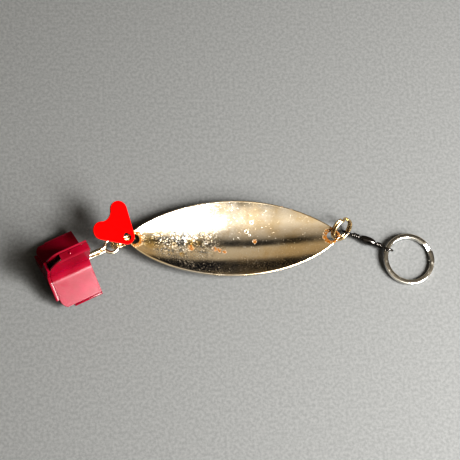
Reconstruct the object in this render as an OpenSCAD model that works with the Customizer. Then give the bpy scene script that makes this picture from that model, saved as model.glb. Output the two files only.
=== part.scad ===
// Spoon lure: a cupped willow-leaf blade with a split ring at each end.
// The line end carries a barrel swivel and a key ring, the tail end a heart
// tag and a treble hook shut inside a hinged plastic cover.
// Millimetres, +X along the blade toward the key ring, +Z up, table at z = 0.

/* [Blade] */
// Length of the blade, tip to tip
blade_l = 81.2; // [78:0.2:84]
// Width of the blade at its middle
blade_w = 30; // [26:0.5:32]
// Thickness of the metal
blade_t = 1.0; // [0.8:0.1:1.2]
// Radius of the hollow across the blade
blade_trough_r = 24.6; // [22:0.2:28]
// Radius of the bend along the blade
blade_bend_r = 132; // [120:1:150]
// Power of the outline's rule, smaller for blunter tips
blade_fullness = 0.76; // [0.7:0.01:0.9]
// Diameter of the hole at each tip
hole_d = 3.6; // [3.4:0.1:3.6]
// Distance from a tip to the middle of its hole
hole_inset = 3.4; // [3.2:0.1:3.6]
// Where the blade's middle lies in the frame
blade_at = [-1.55, 5.05];

/* [Split rings] */
// Outside diameter of both small split rings
ring_od = 9.8; // [9.6:0.1:10]
// Diameter of their round wire
ring_wire_d = 1.0; // [0.9:0.05:1]
// Gap between the two turns of a ring
turn_gap = 0.05; // [0.04:0.01:0.08]
// Angle over which the wire steps from one turn to the other
step_angle = 26; // [24:1:30]

/* [Swivel] */
// Diameter of the swivel's wire
swivel_wire_d = 0.8; // [0.7:0.05:0.8]
// Mean radius of the eye round the front split ring
front_loop_r = 1.8; // [1.75:0.05:1.9]
// Mean radius of the eye round the key ring
rear_loop_r = 2.05; // [2:0.05:2.15]
// Length of the wire wrapped on the front neck
front_neck_l = 3.5; // [3.2:0.1:3.8]
// Length of the wire wrapped on the rear neck
rear_neck_l = 2.9; // [2.6:0.1:3.2]
// Outside diameter of the wrapped wire
neck_d = 2.1; // [2:0.05:2.2]
// Length of the barrel
barrel_l = 5.8; // [5.6:0.1:6]
// Largest diameter of the barrel
barrel_d = 3.1; // [3:0.05:3.3]
// Wall of the barrel round its hollow
barrel_wall = 0.5; // [0.4:0.05:0.5]
// Diameter of the straight wire that turns in the barrel's end
journal_d = 0.96; // [0.9:0.01:0.98]
// Clearance on radius between that wire and its hole
journal_gap = 0.07; // [0.04:0.01:0.1]
// Diameter of the head on the wire inside the barrel
head_d = 1.8; // [1.7:0.05:1.9]
// Length of that head
head_l = 1.2; // [1:0.1:1.4]

/* [Key ring] */
// Outside diameter of the key ring
key_od = 20; // [19.5:0.1:20.5]
// Width of its flat wire
key_wire_w = 1.7; // [1.6:0.05:1.8]
// Thickness of its flat wire
key_wire_t = 0.9; // [0.85:0.05:0.95]
// How far the ring leans on the swivel's eye
key_lean = 3.8; // [3.4:0.1:4]

/* [Heart tag] */
// Radius of each lobe
lobe_r = 3.3; // [3.1:0.1:3.5]
// Half the distance between the lobes' middles
lobe_half_gap = 5.3; // [5.1:0.1:5.5]
// Distance from the point's middle to the line of the lobes' middles
heart_rise = 8.6; // [8.2:0.1:9]
// Radius of the rounded point
heart_tip_r = 3.1; // [3:0.1:3.3]
// Radius of the hollow between the lobes
cleft_r = 4.0; // [3.8:0.1:4.4]
// Thickness of the sheet
heart_t = 0.9; // [0.8:0.1:1]
// Diameter of the hole at the point
heart_hole_d = 3.1; // [3:0.05:3.2]

/* [Treble hook] */
// Diameter of the hook's wire
hook_wire_d = 1.3; // [1.2:0.05:1.3]
// Mean radius of the eye
hook_eye_r = 2.45; // [2.4:0.05:2.7]
// Radius of each bend
bend_r = 5.1; // [4.8:0.1:5.4]
// Length from the middle of the eye to the middle of the bends
hook_shank_l = 18.2; // [17.6:0.1:18.6]
// Straight length of each leg behind its point
leg_l = 2.6; // [2:0.1:3]
// Length of each point
point_l = 3.2; // [2.8:0.1:3.6]

/* [Hook cover] */
// Distance from the cover's middle line to the edge of a fin
fin_r = 14.6; // [14:0.1:15]
// Thickness of a closed fin
fin_t = 3.9; // [3.8:0.05:4.1]
// Thickness of the plastic
cover_wall = 0.7; // [0.6:0.05:0.75]
// Length of the leaves
cover_l = 15.6; // [15.2:0.1:16.4]
// Radius of the rounded corner of a fin
corner_r = 4.6; // [4.2:0.1:5.4]
// Radius of the hollow between two fins
valley_r = 4.5; // [4:0.1:5]
// Thickness of the wall that shuts the bend end
end_wall = 1.2; // [1:0.1:1.4]
// Diameter of the bead along each hinge edge
bead_d = 0.9; // [0.8:0.05:1]

// Distance from the open end to the pip on the top fin
pip_x = 7.2; // [6:0.1:8.4]
// Diameter of the pip
pip_d = 1.2; // [1:0.1:1.4]

/* [Hidden] */
$fn = 96;

// Small overlap that makes joined solids one
eps = 0.02;
// Running gap kept beside faces that move past each other
play = 0.1;

// Blade
hole_x = blade_l / 2 - hole_inset;
hole_sag = blade_bend_r - sqrt(blade_bend_r * blade_bend_r - hole_x * hole_x);
hole_z = hole_sag + blade_t / 2;
outline_steps = 40;

// Both split rings
ring_r = (ring_od - ring_wire_d) / 2;
ring_pitch = ring_wire_d + turn_gap;

// Front split ring: its middle and the way that its plane faces
front_ring_at = [41.36, 2.74, 5.7];
front_ring_turn = -51.6;
front_ring_tilt = 62.2;
front_ring_step = 150;

// Rear split ring
rear_ring_at = [-41.81, -1.38, 7.3];
rear_ring_turn = -69.8;
rear_ring_tilt = 94.1;
rear_ring_step = 30;

// Swivel: it hangs on the front split ring, this far round from its lowest
// point, and runs level to the key ring
hang_angle = 28;
swivel_turn = -23.8;
front_eye_at = ring_point(front_ring_at, ring_r, front_ring_turn, front_ring_tilt, hang_angle);
front_loop_twist = 24;
rear_loop_twist = 25;
front_neck_x = front_loop_r + swivel_wire_d / 2 - 0.2;
barrel_x = front_neck_x + front_neck_l + play;
rear_neck_x = barrel_x + barrel_l + play;
rear_loop_x = rear_neck_x + rear_neck_l + rear_loop_r + swivel_wire_d / 2 - 0.2;
rear_eye_at = front_eye_at + rear_loop_x * [cos(swivel_turn), sin(swivel_turn), 0];
cavity_d = head_d + 0.3;

// Key ring: it hangs in the rear eye and its far edge rests on the table
key_r = (key_od - key_wire_w) / 2;
key_pitch = key_wire_t + turn_gap;
key_turn = -27.8;
key_ring_step = 60;
key_reach = key_r * cos(key_lean);
key_z = key_od / 2 * sin(key_lean) + (key_pitch + key_wire_t) / 2 * cos(key_lean);
key_at = [rear_eye_at[0] + key_reach * cos(key_turn), rear_eye_at[1] + key_reach * sin(key_turn), key_z];

// Heart tag: it hangs on the rear ring's wire with a little slack in its hole
heart_wire_angle = 163.1;
heart_slack = [0.37, -0.15, 0.81];
heart_at = ring_point(rear_ring_at, ring_r, rear_ring_turn, rear_ring_tilt, heart_wire_angle) + heart_slack;
heart_lean_turn = -24.2;
heart_droop = 24.0;
heart_turn = 141.2;
heart_hole_x = 0.32;

// Treble hook and cover share one middle line
cover_at = [-55.03, -7.69, 0];
cover_turn = 24.5;
cover_z = fin_r * sin(30) + fin_t / 2 * cos(30);
hook_eye_x = 9.8;
bend_x = hook_eye_x - hook_shank_l;
shank_half_gap = hook_wire_d / 2 + 0.01;
single_z = sqrt(pow(hook_wire_d + 0.01, 2) - pow(shank_half_gap, 2)) + 0.01;
braze_r = 1.15;
braze_z = 0.42;
pip_h = 0.35;
NEAR = 210;
FAR = -30;
TOP = 90;
straight_l = cover_l - corner_r;
valley_d = (valley_r + fin_t / 2) / sin(60);
valley_steps = 12;
end_r = fin_r - corner_r;

// ---- helpers ----

// Points of an arc about c, from angle a0 to a1
function arc(c, r, a0, a1, steps) =
    [for (i = [0:steps]) c + r * [cos(a0 + (a1 - a0) * i / steps), sin(a0 + (a1 - a0) * i / steps)]];

// Point on the middle line of a ring at c, a degrees round from its lowest point
function ring_point(c, r, turn, tilt, a) =
    c + r * cos(a) * [cos(tilt) * cos(turn), cos(tilt) * sin(turn), -sin(tilt)]
    + r * sin(a) * [-sin(turn), cos(turn), 0];

// Half width of the blade at x
function blade_half(x) =
    blade_w / 2 * pow(max(0, 1 - pow(2 * x / blade_l, 2)), blade_fullness);

// Stations along the blade, closer together toward the tips
function blade_x(i) = -blade_l / 2 * cos(180 * i / outline_steps);

module at_blade() {
    translate([blade_at[0], blade_at[1], 0]) children();
}

// Places a ring's own XY plane at p, turned and tilted
module faced(p, turn, tilt) {
    at_blade() translate(p) rotate([0, tilt, turn]) children();
}

// Two turns of wire side by side, joined by a short step. The child is the
// wire's section, drawn about its own middle.
module two_turn_ring(r, pitch) {
    half = step_angle / 2;
    slope = asin(pitch / 2 / (r * sin(half)));
    for (side = [-1, 1])
        translate([0, 0, side * pitch / 2])
            rotate([0, 0, half])
                rotate_extrude(angle = 360 - step_angle) translate([r, 0]) children();
    rotate([slope, 0, 0])
        rotate([0, 0, -half - 1.5])
            rotate_extrude(angle = step_angle + 3) translate([r, 0]) children();
}

// ---- blade ----

module blade_outline() {
    upper = [for (i = [0:outline_steps]) [blade_x(i), blade_half(blade_x(i))]];
    lower = [for (i = [outline_steps - 1:-1:1]) [blade_x(i), -blade_half(blade_x(i))]];
    polygon(concat(upper, lower));
}

module blade() {
    centre = blade_trough_r - blade_bend_r;
    color("gainsboro")
        at_blade()
            difference() {
                intersection() {
                    translate([0, 0, blade_trough_r])
                        rotate([0, 90, 0])
                            rotate([0, 0, -45])
                                rotate_extrude(angle = 90, $fn = 180)
                                    intersection() {
                                        difference() {
                                            translate([centre, 0]) circle(r = blade_bend_r, $fn = 720);
                                            translate([centre, 0])
                                                circle(r = blade_bend_r - blade_t, $fn = 720);
                                        }
                                        translate([blade_trough_r / 2, -blade_l / 2 - 1])
                                            square([blade_trough_r, blade_l + 2]);
                                    }
                    translate([0, 0, -1]) linear_extrude(height = 20) blade_outline();
                }
                for (x = [-hole_x, hole_x])
                    translate([x, 0, 0]) cylinder(h = 12, d = hole_d);
            }
}

// ---- rings ----

module front_split_ring() {
    color("darkkhaki")
        faced(front_ring_at, front_ring_turn, front_ring_tilt)
            rotate([0, 0, front_ring_step]) two_turn_ring(ring_r, ring_pitch) circle(d = ring_wire_d, $fn = 32);
}

module rear_split_ring() {
    color("darkkhaki")
        faced(rear_ring_at, rear_ring_turn, rear_ring_tilt)
            rotate([0, 0, rear_ring_step]) two_turn_ring(ring_r, ring_pitch) circle(d = ring_wire_d, $fn = 32);
}

module key_ring() {
    color("silver")
        faced(key_at, key_turn, key_lean)
            rotate([0, 0, key_ring_step])
                two_turn_ring(key_r, key_pitch) square([key_wire_w, key_wire_t], center = true);
}

// ---- swivel ----

// Local X runs along the swivel, with x = 0 at the middle of the front eye
module swivel_frame() {
    at_blade() translate(front_eye_at) rotate([0, 0, swivel_turn]) children();
}

// Cylinder along X from x0 to x1
module bar(x0, x1, d) {
    translate([x0, 0, 0]) rotate([0, 90, 0]) cylinder(h = x1 - x0, d = d);
}

// An eye: loop, wrapped neck, journal and head. x = 0 is the loop's middle.
module swivel_eye(loop_r, neck_x, neck_l, twist) {
    wraps = round(neck_l / swivel_wire_d);
    wrap_pitch = (neck_l - swivel_wire_d) / (wraps - 1);
    journal_x = neck_x + neck_l + play + barrel_wall + play;
    rotate([twist, 0, 0])
        rotate([90, 0, 0])
            rotate_extrude() translate([loop_r, 0]) circle(d = swivel_wire_d, $fn = 32);
    bar(loop_r, journal_x + eps, journal_d);
    bar(journal_x, journal_x + head_l, head_d);
    for (i = [0:wraps - 1])
        translate([neck_x + swivel_wire_d / 2 + i * wrap_pitch, 0, 0])
            rotate([0, 90, 0])
                rotate_extrude()
                    translate([(neck_d - swivel_wire_d) / 2, 0]) circle(d = swivel_wire_d, $fn = 32);
}

module swivel_front_eye() {
    color("dimgray")
        swivel_frame() swivel_eye(front_loop_r, front_neck_x, front_neck_l, front_loop_twist);
}

module swivel_rear_eye() {
    color("dimgray")
        swivel_frame()
            translate([rear_loop_x, 0, 0])
                mirror([1, 0, 0])
                    swivel_eye(rear_loop_r, rear_loop_x - rear_neck_x - rear_neck_l, rear_neck_l,
                               rear_loop_twist);
}

module swivel_barrel() {
    end_d = neck_d;
    bulge = (barrel_d - end_d) / 2;
    side_r = (pow(barrel_l / 2, 2) + bulge * bulge) / (2 * bulge);
    hole_r = journal_d / 2 + journal_gap;
    color("darkslategray")
        swivel_frame()
            translate([barrel_x + barrel_l / 2, 0, 0])
                rotate([0, 90, 0])
                    rotate_extrude()
                        difference() {
                            intersection() {
                                translate([0, -barrel_l / 2]) square([barrel_d, barrel_l]);
                                translate([barrel_d / 2 - side_r, 0]) circle(r = side_r, $fn = 720);
                            }
                            translate([0, -barrel_l]) square([hole_r, 2 * barrel_l]);
                            translate([0, -barrel_l / 2 + barrel_wall])
                                square([cavity_d / 2, barrel_l - 2 * barrel_wall]);
                        }
}

// ---- heart tag ----

module heart_outline() {
    reach = sqrt(heart_rise * heart_rise + lobe_half_gap * lobe_half_gap);
    side = atan2(lobe_half_gap, heart_rise) + asin((lobe_r - heart_tip_r) / reach) + 90;
    cleft_x = heart_rise + sqrt(pow(lobe_r + cleft_r, 2) - lobe_half_gap * lobe_half_gap);
    meet = atan2(-lobe_half_gap, cleft_x - heart_rise);
    lobe = [heart_rise, lobe_half_gap];
    polygon(concat(
        arc([0, 0], heart_tip_r, 360 - side, side, 16),
        arc(lobe, lobe_r, side, meet, 18),
        arc([cleft_x, 0], cleft_r, 180 + meet, 180 - meet, 10),
        arc([lobe[0], -lobe[1]], lobe_r, -meet, -side, 18)));
}

module heart_tag() {
    color("red")
        at_blade()
            translate(heart_at)
                rotate([0, heart_droop, heart_lean_turn])
                    rotate([0, 0, heart_turn - heart_lean_turn])
                    difference() {
                        translate([heart_hole_x, 0, -heart_t / 2])
                            linear_extrude(height = heart_t) heart_outline();
                        translate([0, 0, -heart_t]) cylinder(h = 2 * heart_t, d = heart_hole_d);
                    }
}

// ---- treble hook ----

// Local X runs along the hook toward its eye, with x = 0 at the cover's open end
module cover_frame() {
    at_blade() translate(cover_at + [0, 0, cover_z]) rotate([0, 0, cover_turn]) children();
}

// Bend, leg and point, growing along local +Z from a shank on the X axis
module hook_bend() {
    leg_z = 2 * bend_r;
    translate([bend_x, 0, bend_r])
        rotate([90, 0, 0])
            rotate([0, 0, 90])
                rotate_extrude(angle = 180) translate([bend_r, 0]) circle(d = hook_wire_d, $fn = 32);
    translate([0, 0, leg_z]) bar(bend_x, bend_x + leg_l, hook_wire_d);
    translate([bend_x + leg_l, 0, leg_z])
        rotate([0, 90, 0]) cylinder(h = point_l, d1 = hook_wire_d, d2 = 0.1);
}

module hook_double() {
    eye_open = 2 * asin(shank_half_gap / hook_eye_r);
    color("beige")
        cover_frame() {
            translate([hook_eye_x, 0, 0])
                rotate([0, 0, 180 + eye_open / 2])
                    rotate_extrude(angle = 360 - eye_open)
                        translate([hook_eye_r, 0]) circle(d = hook_wire_d, $fn = 32);
            for (side = [-1, 1])
                translate([0, side * shank_half_gap, 0]) {
                    bar(bend_x, hook_eye_x - hook_eye_r * cos(eye_open / 2) + 0.3, hook_wire_d);
                    rotate([side < 0 ? 120 : -120, 0, 0]) hook_bend();
                }
        }
}

module hook_single() {
    color("beige")
        cover_frame()
            translate([0, 0, single_z]) {
                bar(bend_x, hook_eye_x - hook_eye_r - 2.2, hook_wire_d);
                hook_bend();
            }
}

module hook_braze() {
    braze_x0 = bend_x + 3;
    braze_x1 = hook_eye_x - hook_eye_r - 1.6;
    color("tan")
        cover_frame()
            difference() {
                translate([0, 0, braze_z]) bar(braze_x0, braze_x1, 2 * braze_r);
                for (side = [-1, 1])
                    translate([0, side * shank_half_gap, 0]) bar(braze_x0 - 1, braze_x1 + 1, hook_wire_d);
                translate([0, 0, single_z]) bar(braze_x0 - 1, braze_x1 + 1, hook_wire_d);
            }
}

// ---- hook cover ----

// Lays a 2D section, drawn in the plane across the cover, from x0 to x1
module along(x0, x1) {
    translate([x0, 0, 0]) rotate([90, 0, 90]) linear_extrude(height = x1 - x0) children();
}

// Section of a V leaf about +X of the section plane: two plates at 120
// degrees with a rounded valley. r0 and r1 are where the plates end.
module leaf_section(r0, r1) {
    c = [valley_d, 0];
    outer = arc(c, valley_r, 150, 210, valley_steps);
    inner = arc(c, valley_r + cover_wall, 210, 150, valley_steps);
    u0 = [cos(60), sin(60)];
    n0 = [sin(60), -cos(60)];
    u1 = [cos(60), -sin(60)];
    n1 = [sin(60), cos(60)];
    h_out = fin_t / 2;
    h_in = fin_t / 2 - cover_wall;
    polygon(concat([r0 * u0 + h_in * n0, r0 * u0 + h_out * n0], outer,
                   [r1 * u1 + h_out * n1, r1 * u1 + h_in * n1], inner));
}

// Cuts the rounded corner of the fin at the given angle
module corner_cut(angle) {
    reach = fin_r + 2;
    rotate([angle - 90, 0, 0])
        translate([0, fin_t, 0])
            rotate([90, 0, 0])
                linear_extrude(height = 2 * fin_t)
                    difference() {
                        translate([-cover_l - 4, end_r]) square([corner_r + 4, reach - end_r]);
                        translate([-straight_l, end_r]) circle(r = corner_r);
                    }
}

// A V leaf whose two fins point at the angles first and first - 120
module leaf(first, r0, r1, length) {
    difference() {
        along(-length, 0) rotate([0, 0, first - 60]) leaf_section(r0, r1);
        corner_cut(first);
        corner_cut(first - 120);
    }
}

// Middle of the hinge bead in the section plane, on the upper corner of a fin
function bead_at(angle, side) =
    (fin_r - bead_d / 2) * [cos(angle), sin(angle)]
    + side * (fin_t / 2 - bead_d / 2) * [-sin(angle), cos(angle)];

// Edge wall and hinge bead of the base along one fin; side is +1 where the
// leaf above lies on the left of the fin
module hinge_edge(angle, side) {
    b = bead_at(angle, side);
    along(-straight_l, 0) {
        rotate([0, 0, angle])
            translate([fin_r - cover_wall - 0.05, side > 0 ? -fin_t / 2 : -fin_t / 2 + bead_d / 2])
                square([cover_wall, fin_t - bead_d / 2]);
        translate(b) circle(d = bead_d);
    }
}

// Y-shaped wall across the bend end
module end_wall_section() {
    for (angle = [NEAR, TOP, FAR])
        rotate([0, 0, angle]) translate([-eps, -fin_t / 2]) square([end_r, fin_t]);
    circle(r = 0.9 * fin_t, $fn = 6);
}

module cover_base() {
    plate_r = fin_r - cover_wall / 2;
    color("crimson")
        cover_frame() {
            leaf(FAR, plate_r, plate_r, cover_l);
            along(-cover_l - end_wall, -cover_l - play) end_wall_section();
            along(-cover_l - end_wall / 2, -cover_l + end_wall)
                rotate([0, 0, FAR - 60]) leaf_section(end_r - 0.1, end_r - 0.1);
            hinge_edge(NEAR, -1);
            hinge_edge(FAR, 1);
        }
}

// The near leaf also holds the strip that shuts the top fin, with its pip
module cover_near_leaf() {
    strip_z = fin_r - cover_wall;
    hinge_r = fin_r - bead_d - play / 2;
    color("crimson")
        cover_frame() {
            leaf(NEAR, hinge_r, fin_r, cover_l);
            translate([-straight_l, -fin_t / 2 + eps, strip_z])
                cube([straight_l, fin_t - cover_wall - play - eps, cover_wall]);
            translate([-pip_x, 0, fin_r - eps]) cylinder(h = pip_h, d = pip_d);
        }
}

module cover_far_leaf() {
    hinge_r = fin_r - bead_d - play / 2;
    color("crimson")
        cover_frame() leaf(TOP, fin_r, hinge_r, cover_l);
}

blade();
front_split_ring();
swivel_front_eye();
swivel_barrel();
swivel_rear_eye();
key_ring();
rear_split_ring();
heart_tag();
hook_double();
hook_single();
hook_braze();
cover_base();
cover_near_leaf();
cover_far_leaf();
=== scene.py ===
"""Looks of a spoon lure: blade, split rings, swivel, key ring, heart tag, treble hook and hook cover.

Lengths are in millimetres in the maker's own figures and become metres when a mesh is made.
+X runs along the blade toward the key ring, +Z is up and the table is at z = 0.
"""
from __future__ import annotations

import logging
import math
from dataclasses import dataclass, field
from enum import Enum

import bmesh
import bpy
import numpy as np
from mathutils import Matrix

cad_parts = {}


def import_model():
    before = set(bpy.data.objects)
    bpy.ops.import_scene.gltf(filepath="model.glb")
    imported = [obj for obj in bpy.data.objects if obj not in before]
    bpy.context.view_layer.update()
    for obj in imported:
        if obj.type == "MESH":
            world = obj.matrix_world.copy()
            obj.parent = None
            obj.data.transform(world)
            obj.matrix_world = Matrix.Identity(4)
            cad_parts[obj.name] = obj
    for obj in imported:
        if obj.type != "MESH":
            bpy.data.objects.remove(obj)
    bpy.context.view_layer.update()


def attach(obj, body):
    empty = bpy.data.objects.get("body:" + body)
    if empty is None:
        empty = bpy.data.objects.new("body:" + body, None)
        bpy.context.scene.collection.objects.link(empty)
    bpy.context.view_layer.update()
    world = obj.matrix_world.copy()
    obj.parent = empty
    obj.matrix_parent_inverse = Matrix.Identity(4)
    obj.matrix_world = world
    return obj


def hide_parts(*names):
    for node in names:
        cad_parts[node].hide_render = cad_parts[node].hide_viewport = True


Triple = tuple[float, float, float]
Socket = bpy.types.NodeSocket

MM = 0.001
LOG = logging.getLogger("spoon_lure")

# Middle of the blade in the frame, and from it the middles of both small rings and of the cover's open end
BLADE_AT = np.array([-1.55, 5.05, 0.0])
FRONT_RING_AT = np.array([41.36, 2.74, 5.7])
REAR_RING_AT = np.array([-41.81, -1.38, 7.3])
COVER_AT = np.array([-55.03, -7.69, 0.0])

# Where the swivel and the heart hang, in degrees round their rings from the lowest point
SWIVEL_ANGLE = 28.0
HEART_ANGLE = 163.1
HEART_SHIFT = np.array([0.37, -0.15, 0.8])

# The key ring: its heading and lean in degrees, its middle and outer radius and half its thickness
KEY_TURN = -27.8
KEY_LEAN = 3.8
KEY_R = 9.15
KEY_OUTER_R = 10.0
KEY_HALF_T = 0.925

# Slope of the cover's two lower fins, which stand on the table
LOW_FIN = math.radians(30.0)

# Size of a wire's rounded end at its tip, as a share of the whole wire
WIRE_TIP = 0.55


# ---- plain geometry ----


def turned(points: np.ndarray, turn: float = 0.0, tilt: float = 0.0, spin: float = 0.0) -> np.ndarray:
    """Turns points about Z by spin, then about Y by tilt, then about Z by turn.

    Args:
        points: rows of x, y, z.
        turn: last angle, in degrees.
        tilt: middle angle, in degrees.
        spin: first angle, in degrees.

    Returns:
        The turned points.
    """
    matrix = (
        Matrix.Rotation(math.radians(turn), 3, "Z")
        @ Matrix.Rotation(math.radians(tilt), 3, "Y")
        @ Matrix.Rotation(math.radians(spin), 3, "Z")
    )
    return points @ np.array(matrix).T


def unit(vectors: np.ndarray) -> np.ndarray:
    """Rows of vectors, each divided by its own length."""
    return vectors / np.linalg.norm(vectors, axis=-1, keepdims=True)


def smooth_step(values: np.ndarray) -> np.ndarray:
    """Cubic rise from 0 to 1, 3t^2 - 2t^3, with t held between 0 and 1."""
    held = np.clip(values, 0.0, 1.0)
    return held * held * (3.0 - 2.0 * held)


def run_along(path: np.ndarray) -> np.ndarray:
    """Length of a path from its start to each of its points."""
    return np.concatenate([[0.0], np.cumsum(np.linalg.norm(np.diff(path, axis=0), axis=1))])


def rolled(flat: np.ndarray, angle: float) -> np.ndarray:
    """Rows of y, z turned about the X axis by an angle in degrees."""
    a = math.radians(angle)
    return flat @ np.array([[math.cos(a), math.sin(a)], [-math.sin(a), math.cos(a)]])


def with_x(x: np.ndarray, flat: np.ndarray) -> np.ndarray:
    """Puts an x before the y and z of each point."""
    return np.concatenate([np.broadcast_to(x, flat.shape[:-1])[..., None], flat], -1)


def grid_faces(rows: int, cols: int, wrap_rows: bool, wrap_cols: bool) -> np.ndarray:
    """Corner numbers of the four-sided faces of a grid of points.

    Args:
        rows: number of rows of points.
        cols: number of points in a row.
        wrap_rows: whether the last row joins the first.
        wrap_cols: whether the last point of a row joins its first.

    Returns:
        One row of four corner numbers for each face.
    """
    i = np.arange(rows if wrap_rows else rows - 1)[:, None]
    j = np.arange(cols if wrap_cols else cols - 1)[None, :]
    i1, j1 = (i + 1) % rows, (j + 1) % cols
    corners = [i * cols + j, i * cols + j1, i1 * cols + j1, i1 * cols + j]
    return np.stack([np.broadcast_to(c, (i.size, j.size)) for c in corners], -1).reshape(-1, 4)


@dataclass
class Surface:
    """Points and faces of one or more shells, in millimetres.

    Attributes:
        points: rows of x, y, z.
        faces: lists of corner numbers.
        edge: share of painted edge highlight at each point, 0 to 1.
    """

    points: np.ndarray
    faces: list[list[int]]
    edge: np.ndarray | None = None

    def moved(self, at: np.ndarray, turn: float = 0.0, tilt: float = 0.0, spin: float = 0.0) -> Surface:
        """The same faces on turned points, carried to at."""
        return Surface(turned(self.points, turn, tilt, spin) + at, self.faces, self.edge)

    def with_shell(self, other: Surface) -> Surface:
        """Both shells in one surface.

        Args:
            other: the second shell.

        Returns:
            One surface that holds both.
        """
        start = len(self.points)
        faces = self.faces + [[corner + start for corner in face] for face in other.faces]
        edges = [np.zeros(len(s.points)) if s.edge is None else s.edge for s in (self, other)]
        return Surface(np.vstack([self.points, other.points]), faces, np.concatenate(edges))

    def as_object(self, name: str) -> bpy.types.Object:
        """Makes a smooth mesh in metres with its faces outward, and its edge share as an attribute.

        Args:
            name: the object's name.

        Returns:
            The new object, in the scene.
        """
        mesh = bpy.data.meshes.new(name)
        mesh.from_pydata((self.points * MM).tolist(), [], self.faces)
        work = bmesh.new()
        work.from_mesh(mesh)
        bmesh.ops.recalc_face_normals(work, faces=work.faces)
        work.to_mesh(mesh)
        work.free()
        if self.edge is not None:
            attribute = mesh.attributes.new("edge", "FLOAT", "POINT")
            attribute.data.foreach_set("value", self.edge.astype(np.float32))
        mesh.polygons.foreach_set("use_smooth", np.ones(len(mesh.polygons), bool))
        obj = bpy.data.objects.new(name, mesh)
        bpy.context.scene.collection.objects.link(obj)
        return obj


def closed(rings: np.ndarray, fan: bool = True, edge: np.ndarray | None = None) -> Surface:
    """Joins rings of points into a tube and shuts both of its ends.

    Args:
        rings: points by ring and by place round it.
        fan: whether an end is a fan of triangles about its middle, or one flat face.
        edge: share of painted edge highlight at each point, for ends that are flat faces.

    Returns:
        The closed surface.
    """
    rows, cols = rings.shape[:2]
    last = rows * cols
    points = rings.reshape(-1, 3)
    faces = grid_faces(rows, cols, False, True).tolist()
    this = np.arange(cols)
    if not fan:
        faces += [this[::-1].tolist(), (last - cols + this).tolist()]
        return Surface(points, faces, edge)
    after = (this + 1) % cols
    faces += np.stack([np.full(cols, last), after, this], 1).tolist()
    faces += np.stack([np.full(cols, last + 1), last - cols + this, last - cols + after], 1).tolist()
    return Surface(np.vstack([points, rings[[0, -1]].mean(1)]), faces)


def tube(path: np.ndarray, scale: np.ndarray, reference: np.ndarray, section: np.ndarray) -> Surface:
    """Carries a closed section along an open path and shuts both ends with a fan.

    The section's first axis is the reference with its share along the path taken out, and the
    second is the path's direction crossed with the first: point = path + scale (a first + b second).

    Args:
        path: rows of points.
        scale: the section's size at each point.
        reference: a direction across the path at each point, or one for all.
        section: rows of a, b.

    Returns:
        The closed surface.
    """
    along = unit(np.gradient(path, axis=0))
    across = np.broadcast_to(reference, path.shape)
    first = unit(across - (across * along).sum(1, keepdims=True) * along)
    second = np.cross(along, first)
    a, b = section[:, 0][None, :, None], section[:, 1][None, :, None]
    return closed(path[:, None] + scale[:, None, None] * (a * first[:, None] + b * second[:, None]))


def round_section(radius: float, sides: int = 20) -> np.ndarray:
    """A circle of that radius as rows of a, b."""
    angle = np.linspace(0.0, 2.0 * math.pi, sides, endpoint=False)
    return radius * np.stack([np.cos(angle), np.sin(angle)], 1)


def flat_section(width: float, thickness: float, power: float = 5.0, sides: int = 40) -> np.ndarray:
    """A rounded rectangle, |2a/width|^power + |2b/thickness|^power = 1, as rows of a, b.

    Args:
        width: size along a.
        thickness: size along b.
        power: how square the corners are.
        sides: number of points.

    Returns:
        The outline.
    """
    angle = np.linspace(0.0, 2.0 * math.pi, sides, endpoint=False)
    cos, sin = np.cos(angle), np.sin(angle)
    a = np.sign(cos) * np.abs(cos) ** (2.0 / power) * width / 2.0
    b = np.sign(sin) * np.abs(sin) ** (2.0 / power) * thickness / 2.0
    return np.stack([a, b], 1)


def even_path(path: np.ndarray, step: float, end: float) -> tuple[np.ndarray, np.ndarray]:
    """Walks a path in even steps, with closer ones in its rounded ends.

    Args:
        path: rows of points, close together.
        step: distance between points, in millimetres.
        end: length of each rounded end, in millimetres.

    Returns:
        The new points and a scale that rises to 1 over each end as a quarter circle.
    """
    run = run_along(path)
    tip = end * (1.0 - np.cos(np.linspace(0.0, math.pi / 2.0, 5)))
    count = max(4, int((run[-1] - 2.0 * end) / step))
    middle = np.linspace(end, run[-1] - end, count)[1:-1]
    stations = np.concatenate([tip, middle, run[-1] - tip[::-1]])
    points = np.stack([np.interp(stations, run, path[:, k]) for k in range(3)], 1)
    inward = np.minimum(np.minimum(stations, run[-1] - stations) / end, 1.0)
    scale = WIRE_TIP + (1.0 - WIRE_TIP) * np.sqrt(np.clip(1.0 - (1.0 - inward) ** 2, 0.0, 1.0))
    return points, scale


def revolved(radius: np.ndarray, x: np.ndarray, sides: int, loop: bool = False) -> Surface:
    """Turns a profile about the X axis: (x, r cos u, r sin u).

    Args:
        radius: distance from the axis at each point of the profile.
        x: place along the axis.
        sides: number of steps round the axis.
        loop: whether the profile closes on itself; an open one is shut at the axis.

    Returns:
        The closed surface.
    """
    angle = np.linspace(0.0, 2.0 * math.pi, sides, endpoint=False)
    flat = radius[:, None, None] * np.stack([np.cos(angle), np.sin(angle)], 1)
    rings = with_x(x[:, None], flat)
    if loop:
        return Surface(rings.reshape(-1, 3), grid_faces(len(x), sides, True, True).tolist())
    return closed(rings)


def finished(
    obj: bpy.types.Object, body: str, slot: str, material: bpy.types.Material, sharp: float, *nodes: str
) -> None:
    """Gives a piece its material, its body and the CAD nodes that it stands for.

    Args:
        obj: the piece, in place.
        body: CAD body that it moves with.
        slot: not used.
        material: finish of all its faces.
        sharp: angle in degrees above which an edge stays sharp.
        *nodes: CAD nodes that it replaces.
    """
    obj.data.materials.append(material)
    obj.data.set_sharp_from_angle(angle=math.radians(sharp))
    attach(obj, body)
    if nodes:
        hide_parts(*nodes)
    LOG.info("%s rides on %s, %d faces", obj.name, body, len(obj.data.polygons))


# ---- finishes ----


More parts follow.
